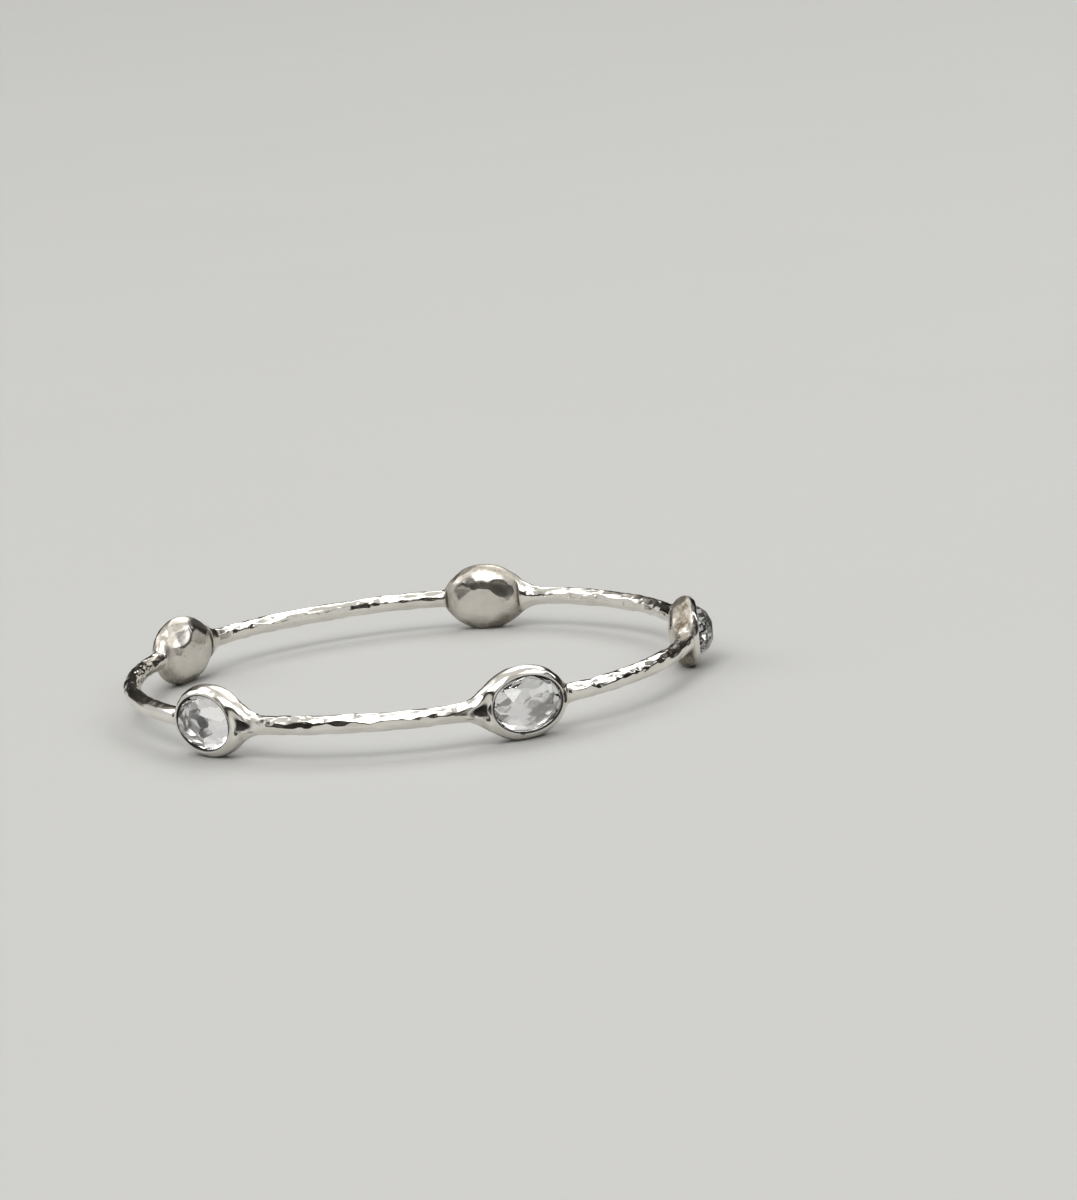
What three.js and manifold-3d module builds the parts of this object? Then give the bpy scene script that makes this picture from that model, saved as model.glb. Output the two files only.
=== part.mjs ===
// A station bangle in sterling silver and rock crystal, lying flat as it rests on a table.
// A hammered round wire runs round the wrist and widens into five oval bezel cups, all cast in one
// piece. Each cup has a closed back, faces outwards, and holds a faceted oval stone under its lip.
// On one side of each cup the wire flares into the cup's wall, and on the other it butts against it.
// Millimetres, +Z up, the front of the bangle towards -Y. Azimuths run from the front towards +X.
import * as THREE from 'three';
import { ConvexGeometry } from 'three/addons/geometries/ConvexGeometry.js';
import { mergeVertices } from 'three/addons/utils/BufferGeometryUtils.js';
import Module from 'manifold-3d';

const wasm = await Module();
wasm.setup();

// ---- Driving dimensions ----

const RING_RADIUS = 31.5; // ring centre to wire centre, for a wrist opening of 61 mm
const WIRE_RADIUS = 1.04;
const WIRE_SIDES = 12;
const WIRE_STEPS = 126; // sections round the whole ring, one every 1.6 mm
const HAMMER_DEPTH = 0.09; // how far the hammer marks sink the wire's skin
const HAMMER_SEED = 11;

const GIRDLE_LENGTH = 8.2; // the standard 8 x 6 mm oval, with what the lip hides
const GIRDLE_WIDTH = 6.2;
const GIRDLE_LEVEL = 0.5; // outwards from the wire's centre
const GIRDLE_THICKNESS = 0.2;
const STONE_GAP = 0.1; // clearance between a stone and its cup

const CUP_SIDES = 36;
const CUP_WALL = 0.86; // a cup is this much larger all round than its stone's girdle
const CUP_HALF_HEIGHT = GIRDLE_WIDTH / 2 + CUP_WALL;
const LIP_LEVEL = 1.02; // top of the lip, level with the outer side of the wire
const LIP_GRIP = 0.15; // how far the lip reaches over the girdle
const BACK_LEVEL = -2.35; // the cup's back, towards the wrist
const REST_FLAT = 0.1; // cut off the underside of each cup, where the bangle rests

// One row for each cup. flareSide is the side where the wire widens, +1 towards a larger azimuth,
// flareReach is how far from the cup's centre that starts, and cant turns the oval out of line.
const STATIONS = [
  { name: 'front_left', azimuth: -44.5, flareSide: 1, flareReach: 7.9, cant: 1.5 },
  { name: 'front_right', azimuth: 21.0, flareSide: -1, flareReach: 7.4, cant: -1.0 },
  { name: 'right', azimuth: 85.5, flareSide: 1, flareReach: 7.7, cant: 0.5 },
  { name: 'back_right', azimuth: 162.0, flareSide: -1, flareReach: 8.0, cant: -0.5 },
  { name: 'back_left', azimuth: 238.5, flareSide: -1, flareReach: 7.6, cant: 1.0 },
];

// The outside of a cup, from its back to its lip: offset is measured outwards from the girdle's
// oval and level outwards from the wire's centre.
const CUP_OUTSIDE = [
  { offset: -2.2, level: BACK_LEVEL },
  { offset: -1.2, level: -2.1 },
  { offset: -0.2, level: -1.65 },
  { offset: 0.55, level: -1.1 },
  { offset: CUP_WALL, level: -0.4 },
  { offset: 0.72, level: 0.3 },
  { offset: 0.4, level: 0.8 },
  { offset: 0.05, level: LIP_LEVEL },
  { offset: -LIP_GRIP - 0.1, level: LIP_LEVEL - 0.04 },
];

// The hollow of a cup, from its floor to beyond its lip. The stone's girdle sits in its widest part.
const CUP_HOLLOW = [
  { offset: -2.0, level: -1.35 },
  { offset: -1.0, level: -0.85 },
  { offset: STONE_GAP, level: GIRDLE_LEVEL - GIRDLE_THICKNESS - STONE_GAP },
  { offset: STONE_GAP, level: GIRDLE_LEVEL + STONE_GAP },
  { offset: -LIP_GRIP, level: LIP_LEVEL - 0.18 },
  { offset: -LIP_GRIP, level: LIP_LEVEL + 1.5 },
];

// The facets of a stone: rings of corners from the table to the small facet at its back. scale is
// the ring's size against the girdle's, level is above the girdle, turn is in steps of its own corners.
const STONE_RINGS = [
  { corners: 7, scale: 0.34, level: 2.12, turn: 0.5 },
  { corners: 7, scale: 0.64, level: 1.6, turn: 0 },
  { corners: 8, scale: 0.87, level: 0.86, turn: 0.5 },
  { corners: 16, scale: 1.0, level: 0, turn: 0.5 },
  { corners: 16, scale: 1.0, level: -GIRDLE_THICKNESS, turn: 0.5 },
  { corners: 8, scale: 0.64, level: -0.98, turn: 0 },
  { corners: 8, scale: 0.28, level: -1.4, turn: 0.5 },
];
const FACET_SHIFT = 0.03; // each facet corner strays by this share of the ring, as in hand cutting
const TABLE_TILT = 0.035; // slope of a table across its stone
const STONE_SEED = 31; // of the first stone, and one more for each that follows

// A flare runs from deep inside the cup's wall to the wire in this many steps.
const FLARE_STEPS = 8;
const FLARE_START = 3.0; // from the cup's centre
const FLARE_SIDES = 16;
const FLARE_CURVE = 2; // 1 gives an oval outline, more hollows it where it meets the wire
const FLARE_BACK = 1.0; // how far its inner side sinks towards the cup's back
const CREASE_DEPTH = 0.55; // of the valley that parts its outer side into two arms

// The notch where the two arms part, as corners of a cutter: along is measured from the cup's centre.
const NOTCH_CORNERS = [
  { along: 4.45, height: 1.15, level: 1.5 },
  { along: 4.45, height: -1.15, level: 1.5 },
  { along: 4.5, height: 0, level: 0.1 },
  { along: 6.3, height: 0, level: 1.5 },
];

// ---- Helpers ----

/** Numbers from 0 to 1 that are the same on every run. */
function seededRandom(seed) {
  let state = seed;
  return () => {
    state = (state * 16807) % 2147483647;
    return state / 2147483647;
  };
}

/** A geometry as a manifold solid, placed by a matrix. */
function solidFrom(geometry, matrix = new THREE.Matrix4()) {
  const bare = geometry.clone().applyMatrix4(matrix);
  bare.deleteAttribute('normal');
  bare.deleteAttribute('uv');
  const merged = mergeVertices(bare, 1e-4);
  const mesh = new wasm.Mesh({
    numProp: 3,
    vertProperties: merged.attributes.position.array,
    triVerts: new Uint32Array(merged.index.array),
  });
  return new wasm.Manifold(mesh);
}

/** A manifold solid as a flat-shaded geometry. */
function geometryFrom(solid) {
  const mesh = solid.getMesh();
  const geometry = new THREE.BufferGeometry();
  geometry.setAttribute('position', new THREE.BufferAttribute(mesh.vertProperties, 3));
  geometry.setIndex(new THREE.BufferAttribute(mesh.triVerts, 1));
  const flat = geometry.toNonIndexed();
  flat.computeVertexNormals();
  return flat;
}

/** A closed skin over rings of points that all have the same count, with a fan over each end. */
function skinOver(rings) {
  const count = rings[0].length;
  const points = rings.flat();
  const triangles = [];
  for (let ring = 0; ring < rings.length - 1; ring++) {
    for (let i = 0; i < count; i++) {
      const here = ring * count + i;
      const next = ring * count + ((i + 1) % count);
      triangles.push(here, next, next + count, here, next + count, here + count);
    }
  }
  const last = (rings.length - 1) * count;
  for (let i = 1; i < count - 1; i++) {
    triangles.push(0, i + 1, i, last, last + i, last + i + 1);
  }
  const geometry = new THREE.BufferGeometry().setFromPoints(points);
  geometry.setIndex(triangles);
  return geometry;
}

// ---- The stations ----

/** A station's seat: x runs along the band, y up and z outwards, with its origin on the wire's centre. */
function seatOf(station) {
  const turn = new THREE.Group();
  turn.rotation.z = THREE.MathUtils.degToRad(station.azimuth);
  const seat = new THREE.Group();
  seat.position.set(0, -RING_RADIUS, 0);
  seat.rotation.set(Math.PI / 2, 0, 0);
  turn.add(seat);
  const oval = new THREE.Group();
  oval.rotation.z = THREE.MathUtils.degToRad(station.cant);
  seat.add(oval);
  turn.updateMatrixWorld(true);
  return { turn, seat, oval };
}

/** A solid of oval rings about z, closed at both ends, from rows of offset and level. */
function ovalSolid(rows) {
  const radius = (row) => GIRDLE_WIDTH / 2 + row.offset;
  const profile = rows.map((row) => new THREE.Vector2(radius(row), row.level));
  profile.unshift(new THREE.Vector2(0, rows[0].level));
  profile.push(new THREE.Vector2(0, rows[rows.length - 1].level));
  const geometry = new THREE.LatheGeometry(profile, CUP_SIDES).rotateX(Math.PI / 2);
  const stretch = (GIRDLE_LENGTH - GIRDLE_WIDTH) / 2;
  const place = geometry.attributes.position;
  for (let i = 0; i < place.count; i++) {
    const reach = Math.hypot(place.getX(i), place.getY(i));
    if (reach > 1e-3) {
      place.setX(i, place.getX(i) * (1 + stretch / reach));
    }
  }
  return geometry;
}

/** The widening of the wire into one side of a cup, in ring coordinates. */
function flare(station) {
  const rings = [];
  for (let step = 0; step <= FLARE_STEPS; step++) {
    const along = THREE.MathUtils.lerp(FLARE_START, station.flareReach, step / FLARE_STEPS);
    const widening = (1 - (along / station.flareReach) ** 2) ** FLARE_CURVE;
    const halfHeight = WIRE_RADIUS + (CUP_HALF_HEIGHT - WIRE_RADIUS) * widening;
    const middle = (-FLARE_BACK / 2) * widening;
    const halfDepth = WIRE_RADIUS + (FLARE_BACK / 2 - HAMMER_DEPTH) * widening;
    const azimuth = azimuthAlong(station, along);
    const ring = [];
    for (let i = 0; i < FLARE_SIDES; i++) {
      const angle = (station.flareSide * i * 2 * Math.PI) / FLARE_SIDES;
      const valley = Math.sin(angle) > 0 ? (1 - Math.abs(Math.cos(angle))) ** 2 : 0;
      const level = middle + halfDepth * Math.sin(angle) - CREASE_DEPTH * widening * valley;
      const reach = RING_RADIUS + level;
      const height = halfHeight * Math.cos(angle);
      ring.push(new THREE.Vector3(reach * Math.sin(azimuth), -reach * Math.cos(azimuth), height));
    }
    rings.push(ring);
  }
  return skinOver(rings);
}

/** The azimuth that lies this far along the wire from a cup's centre, on its flared side. */
function azimuthAlong(station, along) {
  return THREE.MathUtils.degToRad(station.azimuth) + (station.flareSide * along) / RING_RADIUS;
}

/** The cutter for the notch where the arms of a flare part, about the station's seat. */
function notch(station) {
  const corners = NOTCH_CORNERS.map(
    (corner) => new THREE.Vector3(station.flareSide * corner.along, corner.height, corner.level),
  );
  return new ConvexGeometry(corners);
}

/** The wire as a closed ring whose skin is moved in and out by hammer marks. */
function hammeredWire() {
  const geometry = new THREE.TorusGeometry(RING_RADIUS, WIRE_RADIUS, WIRE_SIDES, WIRE_STEPS);
  const place = geometry.attributes.position;
  const random = seededRandom(HAMMER_SEED);
  const marks = Array.from({ length: WIRE_STEPS * WIRE_SIDES }, () => random() * HAMMER_DEPTH);
  for (let i = 0; i < place.count; i++) {
    const side = Math.floor(i / (WIRE_STEPS + 1)) % WIRE_SIDES;
    const step = (i % (WIRE_STEPS + 1)) % WIRE_STEPS;
    const azimuth = Math.atan2(place.getY(i), place.getX(i));
    const centre = new THREE.Vector3(Math.cos(azimuth), Math.sin(azimuth), 0).multiplyScalar(RING_RADIUS);
    const spoke = new THREE.Vector3().fromBufferAttribute(place, i).sub(centre);
    spoke.multiplyScalar(1 - marks[step * WIRE_SIDES + side] / WIRE_RADIUS);
    place.setXYZ(i, ...centre.add(spoke));
  }
  return geometry;
}

/** A faceted oval stone about z, with its girdle at the level that the cup holds it at. */
function stone(seed) {
  const random = seededRandom(seed);
  const points = [];
  for (const ring of STONE_RINGS) {
    const free = ring.scale < 1; // the girdle stays true, so that it fits its cup
    for (let i = 0; i < ring.corners; i++) {
      const stray = free ? (random() - 0.5) * 2 * FACET_SHIFT : 0;
      const angle = ((i + ring.turn) / ring.corners) * 2 * Math.PI + stray * 2;
      const x = Math.cos(angle) * (ring.scale + stray) * (GIRDLE_LENGTH / 2);
      const y = Math.sin(angle) * (ring.scale - stray) * (GIRDLE_WIDTH / 2);
      const tilt = ring === STONE_RINGS[0] ? x * TABLE_TILT : 0;
      points.push(new THREE.Vector3(x, y, GIRDLE_LEVEL + ring.level + tilt));
    }
  }
  return new ConvexGeometry(points);
}

/** The cast band: wire, cups and flares in one, with the stones' hollows and the notches cut in. */
function castBand() {
  const joined = [solidFrom(hammeredWire())];
  const cut = [];
  for (const station of STATIONS) {
    const { seat, oval } = seatOf(station);
    joined.push(solidFrom(ovalSolid(CUP_OUTSIDE), oval.matrixWorld));
    joined.push(solidFrom(flare(station)));
    cut.push(solidFrom(ovalSolid(CUP_HOLLOW), oval.matrixWorld));
    cut.push(solidFrom(notch(station), seat.matrixWorld));
  }
  cut.push(belowRest());
  const whole = joined.reduce((sum, piece) => sum.add(piece));
  return geometryFrom(cut.reduce((rest, hollow) => rest.subtract(hollow), whole));
}

/** All that lies below the plane that the cups' undersides are cut to, so that the bangle lies steady. */
function belowRest() {
  const restLevel = REST_FLAT - CUP_HALF_HEIGHT;
  const width = 4 * RING_RADIUS;
  const slab = new THREE.BoxGeometry(width, width, CUP_HALF_HEIGHT);
  const place = new THREE.Matrix4().makeTranslation(0, 0, restLevel - CUP_HALF_HEIGHT / 2);
  return solidFrom(slab, place);
}

// ---- Materials ----

const sterlingSilver = new THREE.MeshStandardMaterial({
  color: 0xd9d7d0,
  metalness: 1,
  roughness: 0.18,
});
const rockCrystal = new THREE.MeshStandardMaterial({
  color: 0xe9edee,
  metalness: 0,
  roughness: 0.03,
  transparent: true,
  opacity: 0.4,
});

// ---- The assembly ----

const bangle = new THREE.Group();

const band = new THREE.Mesh(castBand(), sterlingSilver);
band.name = 'band';
bangle.add(band);

STATIONS.forEach((station, index) => {
  const { turn, oval } = seatOf(station);
  const crystal = new THREE.Mesh(stone(STONE_SEED + index), rockCrystal);
  crystal.name = `stone_${station.name}`;
  oval.add(crystal);
  bangle.add(turn);
});

// The origin lies under the middle of the whole bangle, on the surface that it rests on.
bangle.updateMatrixWorld(true);
const extent = new THREE.Box3().setFromObject(bangle, true);
const middle = extent.getCenter(new THREE.Vector3());
bangle.position.set(-middle.x, -middle.y, -extent.min.z);

export default bangle;
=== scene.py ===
# Station bangle in hammered sterling silver and rock crystal: the looks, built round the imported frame.
import math

import bmesh
import bpy
import numpy as np
from mathutils import Matrix, Vector, noise
from mathutils.kdtree import KDTree


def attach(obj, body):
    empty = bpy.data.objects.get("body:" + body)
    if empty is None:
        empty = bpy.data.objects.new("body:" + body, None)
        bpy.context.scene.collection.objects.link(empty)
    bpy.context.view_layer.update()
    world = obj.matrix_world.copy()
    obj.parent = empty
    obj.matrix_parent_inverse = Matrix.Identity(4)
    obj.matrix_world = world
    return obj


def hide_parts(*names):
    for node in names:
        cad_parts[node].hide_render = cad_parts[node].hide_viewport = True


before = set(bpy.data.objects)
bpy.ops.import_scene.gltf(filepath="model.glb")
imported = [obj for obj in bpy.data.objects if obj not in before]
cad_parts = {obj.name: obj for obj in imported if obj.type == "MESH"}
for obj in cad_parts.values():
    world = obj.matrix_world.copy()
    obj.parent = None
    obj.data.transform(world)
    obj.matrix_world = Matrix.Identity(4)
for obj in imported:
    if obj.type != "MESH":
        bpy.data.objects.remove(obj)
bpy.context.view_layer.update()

mm = 0.001  # pieces are modelled in millimetres about the hoop's centre and brought to metres at the end
nearly = 0.01  # vertices closer than this, in mm, are at the same place


# each stone's middle, in millimetres
def stoneMiddles():
    middles = {}
    for name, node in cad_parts.items():
        if name.startswith("stone_"):
            corners = np.unique([np.round(v.co[:], 6) for v in node.data.vertices], axis=0)
            middles[name] = corners.mean(0) / mm
    return middles


# the circle that the stones lie on gives the hoop's centre and the azimuth of every station
def findHoop():
    middles = stoneMiddles()
    points = np.array(list(middles.values()))
    sides = np.c_[2 * points[:, :2], np.ones(len(points))]
    x, y, _ = np.linalg.lstsq(sides, (points[:, :2] ** 2).sum(1), rcond=None)[0]
    centre = Vector((x, y, points[:, 2].mean()))
    azimuths = {n: math.atan2(p[0] - x, -(p[1] - y)) for n, p in middles.items()}
    return centre, azimuths


hoopCentre, azimuths = findHoop()
print("hoop centre in mm", [round(c, 3) for c in hoopCentre])

# flareSide is +1 where the band widens towards a larger azimuth and flareReach is how far, in mm;
# cant turns the oval, and backSlope tilts the facets behind the stone's middle, both in degrees;
# skin is how much of the brown casting skin was left on the cup's wall
stations = {
    "stone_front_left": {"flareSide": 1, "flareReach": 7.9, "cant": 1.5, "backSlope": 6, "skin": 0.45},
    "stone_front_right": {"flareSide": -1, "flareReach": 7.4, "cant": -1.0, "backSlope": 12, "skin": 0.45},
    "stone_right": {"flareSide": 1, "flareReach": 7.7, "cant": 0.5, "backSlope": 9, "skin": 1.0},
    "stone_back_right": {"flareSide": -1, "flareReach": 8.0, "cant": -0.5, "backSlope": 8, "skin": 0.8},
    "stone_back_left": {"flareSide": -1, "flareReach": 7.6, "cant": 1.0, "backSlope": 10, "skin": 0.7},
}

wire = {
    "hoopRadius": 31.5,  # of the wire's middle
    "sides": 16,
    "step": 0.9,  # between sections of the cage, before it is subdivided
    "levels": 2,  # of subdivision
}


# an sRGB hex colour as linear red, green, blue and alpha
def linear(hexCode):
    parts = [int(hexCode[i : i + 2], 16) / 255 for i in (1, 3, 5)]
    return tuple(c / 12.92 if c <= 0.04045 else ((c + 0.055) / 1.055) ** 2.4 for c in parts) + (1.0,)


def onlyActive(piece):
    bpy.ops.object.select_all(action="DESELECT")
    piece.select_set(True)
    bpy.context.view_layer.objects.active = piece


def objectMode():
    if bpy.context.object and bpy.context.object.mode != "OBJECT":
        bpy.ops.object.mode_set(mode="OBJECT")


def editMode(piece, selecting="VERT"):
    objectMode()
    onlyActive(piece)
    bpy.ops.object.mode_set(mode="EDIT")
    bpy.ops.mesh.select_mode(type=selecting)
    bpy.ops.mesh.select_all(action="DESELECT")


# selects the vertices, edges or faces that the test picks out by their place
def pick(piece, kind, test):
    mesh = bmesh.from_edit_mesh(piece.data)
    for part in getattr(mesh, kind):
        if test(part):
            part.select_set(True)
    mesh.select_flush_mode()
    bmesh.update_edit_mesh(piece.data)


def applyModifier(piece, kind, **settings):
    objectMode()
    onlyActive(piece)
    modifier = piece.modifiers.new(kind.lower(), kind)
    for key, value in settings.items():
        setattr(modifier, key, value)
    bpy.ops.object.modifier_apply(modifier=modifier.name)


def readVertices(piece):
    places = np.zeros(len(piece.data.vertices) * 3)
    piece.data.vertices.foreach_get("co", places)
    return places.reshape(-1, 3)


def writeVertices(piece, places):
    piece.data.vertices.foreach_set("co", places.ravel())
    piece.data.update()


# the cup's skin from its back, over the lip, to the pocket's floor: half is the oval's half height,
# and level is measured outwards from the wire's centre
cup = {
    "sides": 24,
    "longer": 1.0,  # the oval's half length over its half height
    "rows": [
        {"half": 1.55, "level": -2.4},
        {"half": 2.6, "level": -2.12},
        {"half": 3.4, "level": -1.6},
        {"half": 3.92, "level": -1.0},
        {"half": 4.06, "level": -0.5},
        {"half": 4.05, "level": 0.0},
        {"half": 3.9, "level": 0.45},
        {"half": 3.62, "level": 0.84},
        {"half": 3.3, "level": 1.06},
        {"half": 3.04, "level": 1.03},
        {"half": 2.93, "level": 0.84},
        {"half": 3.2, "level": 0.62},
        {"half": 3.22, "level": 0.2},
        {"half": 3.0, "level": -0.6},
        {"half": 2.3, "level": -1.18},
        {"half": 1.2, "level": -1.38},
    ],
    "holeRows": (3, 7),  # the wire joins the wall between these rows
    "holeTurns": 2,  # and this many sides to each side of the oval's end
    "pocketHalf": 3.4,  # half height inside which a face at those rows' level is the pocket's
    "cantEnds": 5.2,  # along the hoop from the middle, where the oval's turn has faded out
    "cantFades": 0.9,
}

# sections of the flare: along is in millimetres from the cup's middle, and the last one is at the reach;
# valley and shoulder lower the middle of the outer side, and the middle's two neighbours
flareSections = [
    {"along": 4.72, "half": 2.02, "outer": 0.98, "inner": -1.46, "valley": 1.15, "shoulder": 0.06},
    {"along": 5.15, "half": 1.73, "outer": 1.0, "inner": -1.37, "valley": 1.05, "shoulder": 0.0},
    {"along": 5.65, "half": 1.46, "outer": 1.01, "inner": -1.27, "valley": 0.72, "shoulder": -0.03},
    {"along": 6.2, "half": 1.23, "outer": 1.02, "inner": -1.17, "valley": 0.26, "shoulder": -0.02},
    {"along": 6.9, "half": 1.09, "outer": 1.03, "inner": -1.09, "valley": 0.14, "shoulder": 0.0},
    {"along": 7.9, "half": 1.04, "outer": 1.04, "inner": -1.04, "valley": 0, "shoulder": 0},
]

# sections on the other side, where the wire butts against the cup
buttSections = [
    {"along": 4.78, "half": 1.5, "outer": 0.68, "inner": -1.15, "valley": 0, "shoulder": 0},
    {"along": 5.02, "half": 1.12, "outer": 0.84, "inner": -1.06, "valley": 0, "shoulder": 0},
    {"along": 5.3, "half": 1.04, "outer": 1.02, "inner": -1.04, "valley": 0, "shoulder": 0},
    {"along": 6.2, "half": 1.04, "outer": 1.04, "inner": -1.04, "valley": 0, "shoulder": 0},
]


# a section across the wire at a distance along the hoop from the station, on one side of it
def sectionPoints(side, along, section):
    radius = wire["hoopRadius"]
    shrink = (2 + math.cos(2 * math.pi / wire["sides"])) / 3  # what subdividing takes off a round section
    middle = (section["outer"] + section["inner"]) / 2
    depth = (section["outer"] - section["inner"]) / 2 / shrink
    points = []
    for i in range(wire["sides"]):
        angle = 2 * math.pi * i / wire["sides"]
        level = middle + depth * math.cos(angle)
        if i == 0:
            level -= section["valley"]
        if i in (1, wire["sides"] - 1):
            level -= section["shoulder"]
        x = side * (radius + level) * math.sin(along / radius)
        z = (radius + level) * math.cos(along / radius) - radius
        points.append(Vector((x, section["half"] / shrink * math.sin(angle), z)))
    return points


# moves the selected loop's vertices to the points, going round the wire from its outermost one
def setLoop(piece, points):
    mesh = bmesh.from_edit_mesh(piece.data)
    here = max((v for v in mesh.verts if v.select and abs(v.co.y) < nearly), key=lambda v: v.co.z)
    walked = [here]
    while len(walked) < len(points):
        beside = [e.other_vert(here) for e in here.link_edges if e.select]
        beside = [v for v in beside if v not in walked]
        here = max(beside, key=lambda v: v.co.y) if len(walked) == 1 else beside[0]
        walked.append(here)
    for vertex, point in zip(walked, points):
        vertex.co = point
    bmesh.update_edit_mesh(piece.data)


# extrudes the selected edges into one more section
def addSection(piece, side, along, section):
    bpy.ops.mesh.extrude_edges_move()
    setLoop(piece, sectionPoints(side, along, section))


# one oval cup as a cage: rings extruded from back to pocket, with both ends filled
def makeCup(name):
    rows = cup["rows"]
    bpy.ops.mesh.primitive_circle_add(vertices=cup["sides"], radius=1, fill_type="NOTHING")
    piece = bpy.context.object
    piece.name = name
    editMode(piece)
    bpy.ops.mesh.select_all(action="SELECT")
    first = rows[0]
    bpy.ops.transform.resize(value=(first["half"] + cup["longer"], first["half"], 1))
    bpy.ops.transform.translate(value=(0, 0, first["level"]))
    for last, row in zip(rows, rows[1:]):
        bpy.ops.mesh.extrude_edges_move()
        long = (row["half"] + cup["longer"]) / (last["half"] + cup["longer"])
        bpy.ops.transform.resize(value=(long, row["half"] / last["half"], 1), center_override=(0, 0, 0))
        bpy.ops.transform.translate(value=(0, 0, row["level"] - last["level"]))
    bpy.ops.mesh.fill_grid(span=cup["sides"] // 4)
    bpy.ops.mesh.select_all(action="DESELECT")
    pick(piece, "verts", lambda v: v.co.z < first["level"] + nearly)
    bpy.ops.mesh.fill_grid(span=cup["sides"] // 4)
    return piece


# cuts the hole that the wire joins, on one side, and leaves its edge selected
def cutHole(piece, side):
    low, high = (cup["rows"][r] for r in cup["holeRows"])
    width = math.radians(360 / cup["sides"] * cup["holeTurns"])

    def inPatch(face):
        at = face.calc_center_median()
        half = math.hypot(at.x * low["half"] / (low["half"] + cup["longer"]), at.y)
        turn = math.atan2(at.y / low["half"], side * at.x / (low["half"] + cup["longer"]))
        return low["level"] < at.z < high["level"] and abs(turn) < width and half > cup["pocketHalf"]

    bpy.ops.mesh.select_mode(type="FACE")
    bpy.ops.mesh.select_all(action="DESELECT")
    pick(piece, "faces", inPatch)
    bpy.ops.mesh.delete(type="FACE")
    bpy.ops.mesh.select_mode(type="EDGE")
    bpy.ops.mesh.select_all(action="DESELECT")
    pick(piece, "edges", lambda e: e.is_boundary and side * e.verts[0].co.x > 0)


# where the cage of the flare is reworked, in mm: along and up are from the cup's middle and above
# is a level outwards from the wire's centre
crotch = {
    # the hole's corners are spread into two arms
    "corners": {"along": 3.5, "up": (1.5, 2.3), "above": -1.2, "spread": 0.24},
    # the lip is thinned beside the crotch, and most at the hole's upper edge, which also drops
    "lip": {"along": 3.8, "up": 1.2, "above": 0.7, "thin": 0.14},
    "edge": {"along": 4.4, "thin": 0.3, "drop": 0.3, "middle": 0.5, "middleDrop": 0.75},
    # and the rim stays crisp when the cage is subdivided
    "rim": {"along": (4.3, 6.5), "up": (0.4, 1.0), "above": 0.1, "crease": 0.8},
}


def pullShoulders(piece, side):
    corners, lip, edge = crotch["corners"], crotch["lip"], crotch["edge"]
    low, high = corners["up"]
    mesh = bmesh.from_edit_mesh(piece.data)
    for vertex in mesh.verts:
        x, y, z = vertex.co
        if side * x > corners["along"] and low < abs(y) < high and z > corners["above"]:
            vertex.co.y += math.copysign(corners["spread"], y)
        if side * x > lip["along"] and abs(y) < lip["up"] and z > lip["above"]:
            onEdge = side * x > edge["along"]
            vertex.co.x -= side * (edge if onEdge else lip)["thin"]
            if onEdge:
                vertex.co.z -= edge["middleDrop"] if abs(y) < edge["middle"] else edge["drop"]
    bmesh.update_edit_mesh(piece.data)


def creaseCrotch(piece, side):
    rim = crotch["rim"]

    def onRim(vertex):
        x, y, z = vertex.co
        (near, far), (low, high) = rim["along"], rim["up"]
        return near < side * x < far and low < abs(y) < high and z > rim["above"]

    bpy.ops.mesh.select_all(action="DESELECT")
    pick(piece, "edges", lambda e: all(map(onRim, e.verts)) and e.verts[0].co.y * e.verts[1].co.y > 0)
    bpy.ops.transform.edge_crease(value=rim["crease"])


# a cup with its flare on one side and its butt joint on the other, the oval turned by its cant
def makeStation(name, station):
    piece = makeCup("cage_" + name)
    side = station["flareSide"]
    cutHole(piece, side)
    pullShoulders(piece, side)
    start, last = flareSections[0]["along"], flareSections[-1]["along"]
    for section in flareSections:
        stretch = (section["along"] - start) / (last - start)
        addSection(piece, side, start + (station["flareReach"] - start) * stretch, section)
    creaseCrotch(piece, side)
    cutHole(piece, -side)
    for section in buttSections:
        addSection(piece, -side, section["along"], section)
    mesh = bmesh.from_edit_mesh(piece.data)
    for vertex in mesh.verts:
        share = min(1, max(0, (cup["cantEnds"] - abs(vertex.co.x)) / cup["cantFades"]))
        turn = Matrix.Rotation(math.radians(station["cant"]) * share, 3, "Z")
        vertex.co = turn @ vertex.co
    bmesh.update_edit_mesh(piece.data)
    objectMode()
    placeStation(piece, azimuths[name])
    return piece


# at a station local x runs along the hoop, y up and z outwards
def stationMatrix(azimuth):
    along = Vector((math.cos(azimuth), math.sin(azimuth), 0))
    out = Vector((math.sin(azimuth), -math.cos(azimuth), 0))
    turn = Matrix((along, Vector((0, 0, 1)), out)).transposed().to_4x4()
    return Matrix.Translation(out * wire["hoopRadius"]) @ turn


def placeStation(piece, azimuth):
    piece.matrix_world = stationMatrix(azimuth)
    onlyActive(piece)
    bpy.ops.object.transform_apply(location=True, rotation=True, scale=True)


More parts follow.
